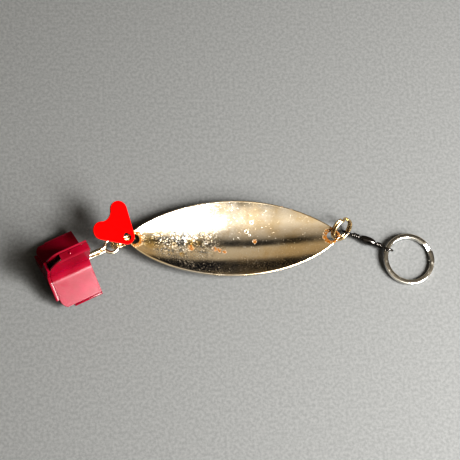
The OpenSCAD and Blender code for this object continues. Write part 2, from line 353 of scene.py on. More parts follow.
class Plating(Enum):
    """The metal finishes of the lure's wire parts."""

    BRASSY = "ring_nickel"
    BLACK = "swivel_dark"
    BRIGHT = "key_nickel"
    CREAM = "hook_nickel"
    SOLDER = "hook_solder"


@dataclass(frozen=True)
class Grain:
    """A cloud pattern and the levels between which it comes up.

    Attributes:
        scale: features per metre.
        detail: number of finer layers on it.
        rough: strength of the finer layers.
        low: level where it starts to show.
        high: level where it shows in full.
    """

    scale: float
    detail: float = 4.0
    rough: float = 0.55
    low: float = 0.0
    high: float = 1.0


class Nodes:
    """Adds nodes to one tree; each step returns the socket that the next one takes."""

    def __init__(self, tree: bpy.types.NodeTree, place: Socket) -> None:
        """Works in a tree whose patterns read the given coordinates."""
        self.tree = tree
        self.place = place

    def put(self, socket: Socket, value: object) -> None:
        """Links a socket's source, or sets its constant."""
        if isinstance(value, bpy.types.NodeSocket):
            self.tree.links.new(value, socket)
        else:
            socket.default_value = value

    def step(
        self, kind: str, inputs: dict[str | int, object], output: str | int, **options: str | bool
    ) -> Socket:
        """Adds one node.

        Args:
            kind: its type.
            inputs: a source or a constant for each input, by name or number.
            output: name or number of the output that is wanted.
            **options: the node's own settings.

        Returns:
            The wanted output.
        """
        node = self.tree.nodes.new(kind)
        for name, option in options.items():
            setattr(node, name, option)
        for key, value in inputs.items():
            self.put(node.inputs[key], value)
        return node.outputs[output]

    def ranged(
        self, value: Socket, low: float, high: float, start: float = 0.0, end: float = 1.0
    ) -> Socket:
        """Maps low to start and high to end, held at both, with a smooth rise."""
        inputs = {"Value": value, "From Min": low, "From Max": high, "To Min": start, "To Max": end}
        return self.step("ShaderNodeMapRange", inputs, "Result", interpolation_type="SMOOTHSTEP")

    def combined(self, operation: str, a: object, b: object) -> Socket:
        """One step of arithmetic, such as MULTIPLY, held between 0 and 1."""
        return self.step("ShaderNodeMath", {0: a, 1: b}, 0, operation=operation, use_clamp=True)

    def along(self, way: Triple) -> Socket:
        """The coordinates measured along a direction."""
        return self.step("ShaderNodeVectorMath", {0: self.place, 1: way}, "Value", operation="DOT_PRODUCT")


class Recipe(Nodes):
    """Builds one material from named steps."""

    def __init__(self, name: str) -> None:
        """Starts a material with a Principled surface, its patterns on Object coordinates."""
        self.material = bpy.data.materials.new(name)
        self.material.use_nodes = True
        tree = self.material.node_tree
        self.shader = tree.nodes["Principled BSDF"]
        super().__init__(tree, tree.nodes.new("ShaderNodeTexCoord").outputs["Object"])

    def spread(self, scale: Triple, turn: float) -> Socket:
        """Coordinates turned about Z, in degrees, and stretched."""
        inputs = {"Vector": self.place, "Rotation": (0.0, 0.0, math.radians(turn)), "Scale": scale}
        return self.step("ShaderNodeMapping", inputs, "Vector")

    def noise(self, grain: Grain, place: Socket | None = None) -> Socket:
        """Cloud pattern, 0 to 1, before its levels are used."""
        inputs = {"Vector": place or self.place, "Scale": grain.scale}
        inputs |= {"Detail": grain.detail, "Roughness": grain.rough}
        return self.step("ShaderNodeTexNoise", inputs, "Fac")

    def clouds(self, grain: Grain, start: float = 0.0, end: float = 1.0) -> Socket:
        """Cloud pattern that goes from start to end between its levels."""
        return self.ranged(self.noise(grain), grain.low, grain.high, start, end)

    def away(self, x: float, y: float) -> Socket:
        """Distance in metres, seen from above, to a place given in millimetres.

        Args:
            x: place along the blade.
            y: place across it.

        Returns:
            The distance.
        """
        flat = {0: self.place, 1: (1.0, 1.0, 0.0)}
        above = self.step("ShaderNodeVectorMath", flat, "Vector", operation="MULTIPLY")
        ends = {0: above, 1: (x * MM, y * MM, 0.0)}
        return self.step("ShaderNodeVectorMath", ends, "Value", operation="DISTANCE")

    def stains(self, places: list[tuple[float, float, float, float]]) -> Socket:
        """Round stains seen from above: x, y, and the radii where each is whole and where it ends.

        Args:
            places: x, y, inner and outer radius of each, in millimetres.

        Returns:
            How stained each point is, 0 to 1.
        """
        share: object = 0.0
        for x, y, inner, outer in places:
            spot = self.ranged(self.away(x, y), inner * MM, outer * MM, 1.0, 0.0)
            share = self.combined("MAXIMUM", spot, share)
        return share

    def blend(self, share: object, a: object, b: object) -> Socket:
        """Colour a where share is 0 and b where it is 1."""
        first, second = (c if isinstance(c, bpy.types.NodeSocket) else (*c, 1.0) for c in (a, b))
        return self.step("ShaderNodeMix", {0: share, 6: first, 7: second}, 2, data_type="RGBA")

    def edge(self) -> Socket:
        """The share of painted edge highlight that is stored on the mesh."""
        return self.step("ShaderNodeAttribute", {}, "Fac", attribute_name="edge")

    def bump(self, steps: list[tuple[Socket, float, float]]) -> None:
        """Stacks heights on the surface; each is a height, its depth in millimetres and its strength.

        Args:
            steps: height, depth and strength of each layer, the lowest first.
        """
        below: dict[str, object] = {}
        for height, depth, strength in steps:
            inputs = {"Height": height, "Distance": depth * MM, "Strength": strength, **below}
            below = {"Normal": self.step("ShaderNodeBump", inputs, "Normal")}
        self.put(self.shader.inputs["Normal"], below["Normal"])

    def set(self, **values: object) -> bpy.types.Material:
        """Sets the shader's sockets by name, with _ for a space, and returns the material.

        Args:
            **values: a source or a constant for each socket.

        Returns:
            The material.
        """
        for key, value in values.items():
            self.put(self.shader.inputs[key.replace("_", " ")], value)
        return self.material


@dataclass(frozen=True)
class BladeFinish:
    """Worn bright nickel with warm tarnish, frosting toward the tail and rust at holes and pits.

    Attributes:
        clean: colour of bare plating.
        tarnish: colour of warm tarnish.
        dull: colour of plating worn thin under the frosting.
        rust: colour of rust stains.
        gold: colour of plating stained gold.
        blister: colour of the lifted plating.
        holes: middles of both holes, x and y.
        rust_spots: rusted pits, each x, y and radius.
        gold_spots: gold stains, each x, y and radius.
        blisters: lifted rings of plating, each x, y and radius.
        blister_rim: how far a ring's wall falls outward, and where it rises inside, in millimetres.
        core: share of a spot's radius where the stain is whole.
        hole_stain: radii where the rust round a hole is whole and where it ends.
        warm_front: run along the blade, in metres, where tarnish grows toward the line, and its strength.
        warm_tail: the same toward the tail.
        frost_run: where the frosting starts and where it is whole, along the blade.
        frost_floor: the same, up from the lower rim.
        clouds: pattern of the tarnish.
        frosted: pattern of the frosted areas.
        frost: pattern of the frost itself.
        worn: pattern of the thin plating.
        stray: pattern of the specks outside the frosting.
        grit: pattern that breaks up the stains.
        rust_specks: pattern of the finest rust.
        gloss: pattern of the polish.
    """

    clean: Triple = (0.90, 0.85, 0.76)
    tarnish: Triple = (0.80, 0.66, 0.45)
    dull: Triple = (0.34, 0.345, 0.35)
    rust: Triple = (0.19, 0.075, 0.010)
    gold: Triple = (0.74, 0.53, 0.20)
    holes: tuple[tuple[float, float], ...] = ((-38.75, 5.05), (35.65, 5.05))
    rust_spots: tuple[Triple, ...] = (
        (-8.4, 2.2, 1.4),
        (-6.7, 1.6, 1.3),
        (-4.8, 1.1, 1.2),
        (7.0, 4.9, 1.3),
        (-17.6, 2.6, 1.8),
        (17.6, 17.6, 0.9),
        (21.2, 16.6, 0.9),
    )
    gold_spots: tuple[Triple, ...] = (
        (-17.4, 4.0, 3.0),
        (-14.6, 4.6, 1.8),
        (-23.9, 3.9, 1.5),
        (-21.0, -0.2, 1.5),
        (-33.0, 4.0, 3.4),
    )
    blisters: tuple[Triple, ...] = (
        (5.9, 12.2, 0.6),
        (3.9, 8.9, 0.7),
        (5.0, 7.6, 0.4),
        (-11.6, 4.9, 0.6),
        (-24.0, 3.8, 0.7),
    )
    blister: Triple = (0.93, 0.90, 0.84)
    blister_rim: Triple = (0.25, 0.35, 0.05)
    core: float = 0.3
    hole_stain: tuple[float, float] = (2.1, 4.2)
    warm_front: Triple = (-0.006, 0.03, 0.45)
    warm_tail: Triple = (-0.024, -0.036, 0.6)
    frost_run: tuple[float, float] = (-0.002, -0.015)
    frost_floor: tuple[float, float] = (-0.0156, -0.0130)
    clouds: Grain = Grain(75.0, 7.0, 0.62, 0.40, 0.66)
    frosted: Grain = Grain(95.0, 6.0, 0.65, 0.36, 0.56)
    frost: Grain = Grain(1500.0, 3.0, 0.75, 0.53, 0.63)
    worn: Grain = Grain(620.0, 4.0, 0.7, 0.45, 0.62)
    stray: Grain = Grain(1300.0, 2.0, 0.6, 0.68, 0.74)
    grit: Grain = Grain(1700.0, 5.0, 0.7, 0.38, 0.58)
    rust_specks: Grain = Grain(1000.0, 3.0, 0.75, 0.66, 0.74)
    gloss: Grain = Grain(50.0, 8.0, 0.7, 0.3, 0.75)

    def rings(self, recipe: Recipe) -> Socket:
        """The lifted rings: whole at each radius, falling off on both sides.

        Args:
            recipe: the material that they are added to.

        Returns:
            How much of a ring is at each point.
        """
        fall, rise, top = self.blister_rim
        share: object = 0.0
        for x, y, radius in self.blisters:
            distance = recipe.away(x, y)
            outside = recipe.ranged(distance, radius * MM, (radius + fall) * MM, 1.0, 0.0)
            inside = recipe.ranged(distance, (radius - rise) * MM, (radius - top) * MM)
            share = recipe.combined("MAXIMUM", recipe.combined("MULTIPLY", outside, inside), share)
        return share

    def material(self) -> bpy.types.Material:
        """Builds the nodes: tarnish, frosting, stains, blisters, scratches and shallow dents.

        Returns:
            The material.
        """
        recipe = Recipe("blade_nickel")
        x = recipe.along((1.0, 0.0, 0.0))
        runs = (self.warm_front, self.warm_tail)
        ends = [recipe.ranged(x, low, high, 0.0, most) for low, high, most in runs]
        warm = recipe.combined("ADD", recipe.clouds(self.clouds, 0.0, 0.75), recipe.combined("ADD", *ends))
        colour = recipe.blend(warm, self.clean, self.tarnish)

        area = recipe.combined("MULTIPLY", recipe.clouds(self.frosted), recipe.ranged(x, *self.frost_run))
        lower_rim = recipe.along((0.47, 1.0, 0.0))
        area = recipe.combined("MULTIPLY", area, recipe.ranged(lower_rim, *self.frost_floor))
        frost = recipe.combined("MULTIPLY", area, recipe.clouds(self.frost))
        frost = recipe.combined("MAXIMUM", frost, recipe.clouds(self.stray))
        thin = recipe.combined("MULTIPLY", area, recipe.clouds(self.worn))
        colour = recipe.blend(thin, colour, self.dull)

        grit = recipe.clouds(self.grit)
        gold = recipe.stains([(sx, sy, self.core * r, r) for sx, sy, r in self.gold_spots])
        gold = recipe.combined("MULTIPLY", gold, grit)
        colour = recipe.blend(gold, colour, self.gold)
        spots = [(*hole, *self.hole_stain) for hole in self.holes]
        spots += [(sx, sy, self.core * r, r) for sx, sy, r in self.rust_spots]
        rust = recipe.ranged(recipe.combined("MULTIPLY", recipe.stains(spots), grit), 0.2, 0.5)
        rust = recipe.combined("MAXIMUM", rust, recipe.clouds(self.rust_specks, 0.0, 0.6))
        colour = recipe.blend(rust, colour, self.rust)
        rings = self.rings(recipe)
        colour = recipe.blend(recipe.combined("MULTIPLY", rings, 0.4), colour, self.blister)

        rough = recipe.clouds(self.gloss, 0.12, 0.27)
        for share, extra in ((frost, 0.24), (gold, 0.06), (rust, 0.2), (rings, 0.12)):
            rough = recipe.combined("ADD", rough, recipe.combined("MULTIPLY", share, extra))
        hair = recipe.noise(Grain(260.0, 6.0, 0.7), recipe.spread((0.12, 3.0, 1.0), 14.0))
        cross = recipe.noise(Grain(300.0, 5.0, 0.7), recipe.spread((2.2, 0.1, 1.0), -32.0))
        dents = recipe.noise(Grain(75.0, 2.0, 0.4))
        ripple = recipe.noise(Grain(330.0, 3.0, 0.5))
        heights = [(dents, 0.30, 0.45), (ripple, 0.04, 0.35), (hair, 0.012, 0.5), (cross, 0.010, 0.35)]
        recipe.bump(heights + [(frost, 0.03, 0.6), (rings, 0.05, 0.6), (rust, 0.05, 0.7)])
        metallic = recipe.ranged(rust, 0.05, 0.6, 1.0, 0.1)
        return recipe.set(
            Base_Color=colour, Metallic=metallic, Roughness=rough, Specular_IOR_Level=0.08
        )


@dataclass(frozen=True)
class WireFinish:
    """A plated wire: two tones in clouds, stains, fine drawing marks.

    Attributes:
        plating: which finish of the wire parts this is.
        clean: main colour.
        stain: colour of the dull clouds.
        rough: roughness from clean to stained.
        stain_low: cloud level where stains start; lower means more of them.
        stain_rise: how much higher a level is wholly stained.
    """

    plating: Plating
    clean: Triple
    stain: Triple
    rough: tuple[float, float]
    stain_low: float = 0.5
    stain_rise: float = 0.22

    def material(self) -> bpy.types.Material:
        """Builds the nodes of this plating.

        Returns:
            The material.
        """
        recipe = Recipe(self.plating.value)
        cloud = recipe.clouds(Grain(420.0, 6.0, 0.65, self.stain_low, self.stain_low + self.stain_rise))
        speck = recipe.clouds(Grain(2300.0, 4.0, 0.7, 0.58, 0.7))
        dull = recipe.combined("MAXIMUM", cloud, recipe.combined("MULTIPLY", speck, 0.6))
        colour = recipe.blend(dull, self.clean, self.stain)
        rough = recipe.ranged(dull, 0.0, 1.0, *self.rough)
        drawn, fine = recipe.noise(Grain(700.0, 4.0, 0.6)), recipe.noise(Grain(3200.0, 3.0, 0.7))
        recipe.bump([(drawn, 0.02, 0.4), (fine, 0.006, 0.5)])
        metallic = recipe.ranged(dull, 0.0, 1.0, 1.0, 0.75)
        return recipe.set(Base_Color=colour, Metallic=metallic, Roughness=rough)


WIRE_FINISHES = {
    finish.plating: finish
    for finish in (
        WireFinish(Plating.BRASSY, (0.74, 0.57, 0.33), (0.12, 0.06, 0.022), (0.20, 0.45), 0.46),
        WireFinish(Plating.BLACK, (0.085, 0.08, 0.075), (0.035, 0.025, 0.02), (0.14, 0.45), 0.5),
        WireFinish(Plating.BRIGHT, (0.80, 0.78, 0.73), (0.45, 0.40, 0.32), (0.10, 0.38), 0.55),
        WireFinish(Plating.CREAM, (0.88, 0.82, 0.66), (0.50, 0.36, 0.19), (0.22, 0.5), 0.52),
        WireFinish(Plating.SOLDER, (0.30, 0.19, 0.09), (0.08, 0.04, 0.02), (0.4, 0.7), 0.42),
    )
}


@dataclass(frozen=True)
class HeartFinish:
    """Plain red sheet, a little scuffed, with a painted highlight in pale red along its rim.

    Attributes:
        face: colour of the sheet.
        cloudy: colour of its faint clouds.
        cut: colour of the painted highlight on the cut edge.
    """

    face: Triple = (0.42, 0.0004, 0.0003)
    cloudy: Triple = (0.34, 0.0003, 0.0003)
    # Pale red that paints a highlight onto the sheet's rim
    cut: Triple = (0.60, 0.10, 0.08)

    def material(self) -> bpy.types.Material:
        """Builds the nodes: even red, faint clouds, scuffs and the painted highlight on the edge.

        Returns:
            The material.
        """
        recipe = Recipe("heart_red")
        cloud = recipe.clouds(Grain(300.0, 5.0, 0.55, 0.35, 0.7), 0.0, 0.25)
        face = recipe.blend(cloud, self.face, self.cloudy)
        # Painted highlight: the rim is blended toward the pale red
        colour = recipe.blend(recipe.ranged(recipe.edge(), 0.35, 0.95, 0.0, 0.8), face, self.cut)
        scuff = recipe.noise(Grain(600.0, 6.0, 0.75), recipe.spread((0.4, 2.0, 1.0), 40.0))
        rough = recipe.ranged(scuff, 0.3, 0.7, 0.42, 0.62)
        recipe.bump([(scuff, 0.01, 0.4), (recipe.noise(Grain(120.0, 2.0)), 0.05, 0.3)])
        return recipe.set(Base_Color=colour, Roughness=rough, Specular_IOR_Level=0.01)


@dataclass(frozen=True)
class CoverFinish:
    """Glossy crimson moulded plastic in two depths of colour, with a painted highlight in pale pink at its
    free edges.

    Attributes:
        deep: the darker colour.
        bright: the lighter colour.
        edge: colour of the painted highlight on the free edges.
    """

    deep: Triple = (0.115, 0.0008, 0.009)
    bright: Triple = (0.17, 0.0012, 0.018)
    # Pale pink that paints a highlight onto the free edges
    edge: Triple = (0.60, 0.08, 0.13)

    def material(self) -> bpy.types.Material:
        """Builds the nodes: soft colour clouds, gloss that varies, flow marks, scratches and painted edge
        highlights.

        Returns:
            The material.
        """
        recipe = Recipe("cover_crimson")
        colour = recipe.blend(recipe.clouds(Grain(110.0, 4.0, 0.55, 0.3, 0.7)), self.deep, self.bright)
        # Painted highlight: free edges blended a little toward the pale pink
        colour = recipe.blend(recipe.ranged(recipe.edge(), 0.3, 1.0, 0.0, 0.12), colour, self.edge)
        rough = recipe.clouds(Grain(160.0, 6.0, 0.7, 0.3, 0.75), 0.15, 0.27)
        scratch = recipe.noise(Grain(500.0, 6.0, 0.75), recipe.spread((0.25, 2.5, 1.0), 30.0))
        flow, fine = recipe.noise(Grain(90.0, 2.0, 0.4)), recipe.noise(Grain(1500.0, 3.0, 0.6))
        recipe.bump([(flow, 0.12, 0.35), (scratch, 0.008, 0.4), (fine, 0.004, 0.4)])
        return recipe.set(
            Base_Color=colour,
            Roughness=rough,
            Specular_IOR_Level=0.36,
            Subsurface_Weight=0.12,
            Subsurface_Radius=(1.0, 0.1, 0.1),
            Subsurface_Scale=0.0006,
        )


# ---- pieces ----


@dataclass
class Blade:
    """The cupped willow-leaf blade."""

    length: float = 81.2
    width: float = 30.0
    trough_r: float = 24.6
    bend_r: float = 132.0
    thickness: float = 1.0
    fullness: float = 0.76
    hole_r: float = 1.8
    hole_inset: float = 3.4
    stations: int = 180
    across: int = 44
    rim: int = 9
    tip_gap: float = 0.02
    tip_share: float = 0.8

    def shell(self) -> Surface:
        """Works out the closed leaf.

        A section across the blade is an arc about a line above it, drawn as a closed loop:
        angle = half angle times a, plus rim share; radius = middle radius plus half thickness
        times c. Half width is w/2 (1 - (2x/L)^2)^fullness, and the middle radius at x follows
        the bend along the blade.

        Returns:
            The shell.
        """
        x = -self.length / 2.0 * np.cos(np.linspace(self.tip_gap, math.pi - self.tip_gap, self.stations))
        half = self.width / 2.0 * (1.0 - (2.0 * x / self.length) ** 2) ** self.fullness
        outer = self.trough_r - self.bend_r + np.sqrt(self.bend_r**2 - x**2)
        inner = self.trough_r - self.bend_r + np.sqrt((self.bend_r - self.thickness) ** 2 - x**2)
        middle = (outer + inner) / 2.0
        thick = np.minimum((outer - inner) / 2.0, self.tip_share * half)
        sweep = np.sin(np.linspace(-math.pi / 2.0, math.pi / 2.0, self.across))
        turn = np.linspace(-math.pi / 2.0, math.pi / 2.0, self.rim)[1:-1]
        flat, full = np.zeros(self.across), np.ones(self.across)
        a = np.concatenate([sweep, np.ones(self.rim - 2), -sweep, -np.ones(self.rim - 2)])
        b = np.concatenate([flat, np.cos(turn), flat, -np.cos(turn)])
        c = np.concatenate([-full, np.sin(turn), full, -np.sin(turn)])
        reach = np.arcsin(np.clip((half - thick) / middle, 0.0, 1.0))
        angle = reach[:, None] * a + thick[:, None] * b / middle[:, None]
        radius = middle[:, None] - thick[:, None] * c
        section = np.stack([radius * np.sin(angle), self.trough_r - radius * np.cos(angle)], -1)
        return closed(with_x(x[:, None], section) + BLADE_AT)

    def cutter(self, x: float) -> bpy.types.Object:
        """A spool that cuts one hole with eased rims, standing on the hole's middle.

        Args:
            x: the hole's place along the blade.

        Returns:
            The cutter.
        """
        hole_z = self.bend_r - math.sqrt(self.bend_r**2 - x * x) + self.thickness / 2.0
        height = np.array([-4.0, -0.85, -0.55, -0.3, 0.0, 0.3, 0.55, 0.85, 4.0])
        radius = self.hole_r + np.array([0.9, 0.42, 0.15, 0.03, 0.0, 0.03, 0.15, 0.42, 0.9])
        spool = revolved(radius, height, 48)
        spool.points = spool.points[:, [1, 2, 0]]
        return spool.moved(BLADE_AT + np.array([x, 0.0, hole_z])).as_object("cutter")

    def build(self) -> None:
        """Makes the blade and cuts its holes."""
        obj = self.shell().as_object("blade_leaf")
        cutters = [self.cutter(side * (self.length / 2.0 - self.hole_inset)) for side in (-1.0, 1.0)]
        for cutter in cutters:
            cut = obj.modifiers.new("hole", "BOOLEAN")
            cut.operation = "DIFFERENCE"
            cut.solver = "EXACT"
            cut.object = cutter
        bpy.context.view_layer.update()
        whole = bpy.data.meshes.new_from_object(obj.evaluated_get(bpy.context.evaluated_depsgraph_get()))
        obj.modifiers.clear()
        obj.data = whole
        for cutter in cutters:
            bpy.data.objects.remove(cutter)
        finished(obj, "blade", "blade_nickel", BladeFinish().material(), 50.0, "blade")


@dataclass
class SplitRing:
    """Two turns of wire side by side, the second reached by a short step.

    Attributes:
        name: the piece's name.
        at: the ring's middle.
        turn: heading of its axis, in degrees.
        tilt: how far its axis leans from upright.
        spin: where the step lies round the ring.
        plating: its finish and slot.
        body: CAD body that it moves with.
        node: CAD node that it replaces.
        radius: radius of the wire's middle line.
        pitch: distance between the two turns.
        step_angle: angle that the step takes.
        section: outline of the wire.
    """

    name: str
    at: np.ndarray
    turn: float
    tilt: float
    spin: float
    plating: Plating
    body: str
    node: str
    radius: float = 4.4
    pitch: float = 1.05
    step_angle: float = 26.0
    section: np.ndarray = field(default_factory=lambda: round_section(0.5, 22))

    def path(self) -> np.ndarray:
        """Middle line: one turn low, a smooth step up over step_angle, one turn high.

        Returns:
            Rows of points, lying flat about the origin.
        """
        half = self.step_angle / 2.0
        angle = np.linspace(half, 720.0 - half, 720)
        rise = smooth_step((angle - (360.0 - half)) / self.step_angle)
        around = np.radians(angle)
        z = self.pitch * (rise - 0.5)
        return np.stack([self.radius * np.cos(around), self.radius * np.sin(around), z], 1)

    def point(self, angle: float) -> np.ndarray:
        """Point on the middle line between the turns, angle degrees round from its lowest point.

        Args:
            angle: how far round, in degrees.

        Returns:
            The point.
        """
        a = math.radians(angle)
        local = self.radius * np.array([[math.cos(a), math.sin(a), 0.0]])
        return turned(local, self.turn, self.tilt)[0] + self.at

    def build(self) -> None:
        """Makes the ring in place and dresses it."""
        path, scale = even_path(self.path(), 0.28, 0.22)
        outward = path * np.array([1.0, 1.0, 0.0])
        ring = tube(path, scale, outward, self.section)
        obj = ring.moved(self.at, self.turn, self.tilt, self.spin).as_object(self.name)
        material = WIRE_FINISHES[self.plating].material()
        finished(obj, self.body, self.plating.value, material, 50.0, self.node)


@dataclass
class Swivel:
    """Barrel swivel: two wire eyes whose headed shanks turn inside one barrel."""

    at: np.ndarray
    turn: float = -23.8
    wire: float = 0.8
    front_loop_r: float = 1.8
    rear_loop_r: float = 2.05
    front_twist: float = 24.0
    rear_twist: float = 25.0
    front_neck: float = 3.5
    rear_neck: float = 2.9
    neck_d: float = 2.1
    barrel: float = 5.8
    barrel_d: float = 3.1
    wall: float = 0.5
    journal_d: float = 0.96
    journal_gap: float = 0.07
    head_d: float = 1.8
    head: float = 1.2
    play: float = 0.1
    seat: float = 0.2
    bevel: float = 0.15
    short_turn: float = 0.35
    wind_start: float = 0.6
    wrap_overlap: float = 0.25
    groove: float = 0.06
    groove_inset: float = 0.55
    groove_width: float = 0.12
    lip: float = 0.14
    loop_steps: int = 72
    wire_sides: int = 18

    @property
    def front_neck_x(self) -> float:
        """Where the front wraps start."""
        return self.front_loop_r + self.wire / 2.0 - self.seat

    @property
    def rear_neck_x(self) -> float:
        """Where the rear wraps start, from the middle of the rear eye."""
        return self.rear_loop_r + self.wire / 2.0 - self.seat

    @property
    def barrel_x(self) -> float:
        """Where the barrel starts."""
        return self.front_neck_x + self.front_neck + self.play

    @property
    def rear_loop_x(self) -> float:
        """Middle of the rear eye."""
        return self.barrel_x + self.barrel + self.play + self.rear_neck + self.rear_neck_x

    def eye(self, loop_r: float, neck_x: float, neck: float, twist: float) -> Surface:
        """One eye along +X: a closed loop, wire wound on the neck, and the headed shank.

        The loop is a circle about the eye's middle in a plane through X. The wound wire is a
        helix, angle growing evenly with x, that starts from the loop and ends at the barrel.

        Args:
            loop_r: radius of the loop's middle line.
            neck_x: where the wraps start.
            neck: length of the wraps.
            twist: how far the loop's plane is turned about X, in degrees.

        Returns:
            The loop, the wraps and the shank.
        """
        angle = np.linspace(0.0, 2.0 * math.pi, self.loop_steps, endpoint=False)
        tilt = math.radians(twist)
        normal = np.array([0.0, math.cos(tilt), math.sin(tilt)])
        side = np.array([0.0, -math.sin(tilt), math.cos(tilt)])
        outward = np.cos(angle)[:, None] * np.array([1.0, 0.0, 0.0]) + np.sin(angle)[:, None] * side
        disc = round_section(self.wire / 2.0, self.wire_sides)
        ring = loop_r * outward[:, None] + disc[:, 0, None] * outward[:, None] + disc[:, 1, None] * normal
        eye = Surface(ring.reshape(-1, 3), grid_faces(self.loop_steps, self.wire_sides, True, True).tolist())

        turns = round(neck / self.wire) - self.short_turn
        share = np.linspace(0.0, 1.0, 160)
        wind = 2.0 * math.pi * turns * share + tilt + self.wind_start
        # The wire climbs to the full neck in the first ninth of the wraps
        climb = WIRE_TIP + (1.0 - WIRE_TIP) * smooth_step(share * 9.0)
        lift = (self.neck_d - self.wire) / 2.0 * climb
        x = neck_x + self.wire / 2.0 - self.wrap_overlap + (neck - self.wire + self.seat) * share
        path, scale = even_path(np.stack([x, lift * np.cos(wind), lift * np.sin(wind)], 1), 0.16, 0.2)
        outer = path * np.array([0.0, 1.0, 1.0])
        eye = eye.with_shell(tube(path, scale, outer, round_section(self.wire / 2.0, 16)))

        head_x = neck_x + neck + 2.0 * self.play + self.wall
        end_x = head_x + self.head
        thin, full = self.journal_d / 2.0, self.head_d / 2.0
        x = np.array([loop_r, neck_x + neck, head_x, head_x, head_x + self.bevel, end_x - self.bevel, end_x])
        radius = np.array([thin, thin, thin, full - self.bevel, full, full, full - self.bevel])
        return eye.with_shell(revolved(radius, x, 28))

    def barrel_shell(self) -> Surface:
        """The hollow barrel: an arc outside, rolled lips, a bore at each end and a chamber.

        Returns:
            The shell, in place along the swivel.
        """
        half = self.barrel / 2.0
        bulge = (self.barrel_d - self.neck_d) / 2.0
        side_r = (half * half + bulge * bulge) / (2.0 * bulge)
        x = np.linspace(-half + self.groove_width, half - self.groove_width, 36)
        outer = self.barrel_d / 2.0 - side_r + np.sqrt(side_r**2 - x**2)
        # A shallow groove near each end, in the form of a bell curve
        off = (np.abs(x) - half + self.groove_inset) / self.groove_width
        groove = self.groove * np.exp(-(off**2))
        bore, chamber = self.journal_d / 2.0 + self.journal_gap, self.head_d / 2.0 + self.bevel
        lip = self.neck_d / 2.0 - self.lip
        xs = [x, [half, half, half - self.wall, half - self.wall]]
        xs += [[-half + self.wall, -half + self.wall, -half, -half]]
        rs = [outer - groove, [lip, bore, bore, chamber], [chamber, bore, bore, lip]]
        shell = revolved(np.concatenate(rs), np.concatenate(xs), 48, True)
        return shell.moved(np.array([self.barrel_x + half, 0.0, 0.0]))

    def build(self) -> None:
        """Makes both eyes and the barrel."""
        material = WIRE_FINISHES[Plating.BLACK].material()
        front = self.eye(self.front_loop_r, self.front_neck_x, self.front_neck, self.front_twist)
        rear = self.eye(self.rear_loop_r, self.rear_neck_x, self.rear_neck, self.rear_twist)
        rear.points = rear.points * np.array([-1.0, 1.0, 1.0]) + np.array([self.rear_loop_x, 0.0, 0.0])
        for name, surface, body, node in (
            ("swivel_eye_front", front, "front_eye", "swivel_front_eye"),
            ("swivel_body", self.barrel_shell(), "barrel", "swivel_barrel"),
            ("swivel_eye_rear", rear, "rear_eye", "swivel_rear_eye"),
        ):
            obj = surface.moved(self.at, self.turn).as_object(name)
            finished(obj, body, Plating.BLACK.value, material, 40.0, node)


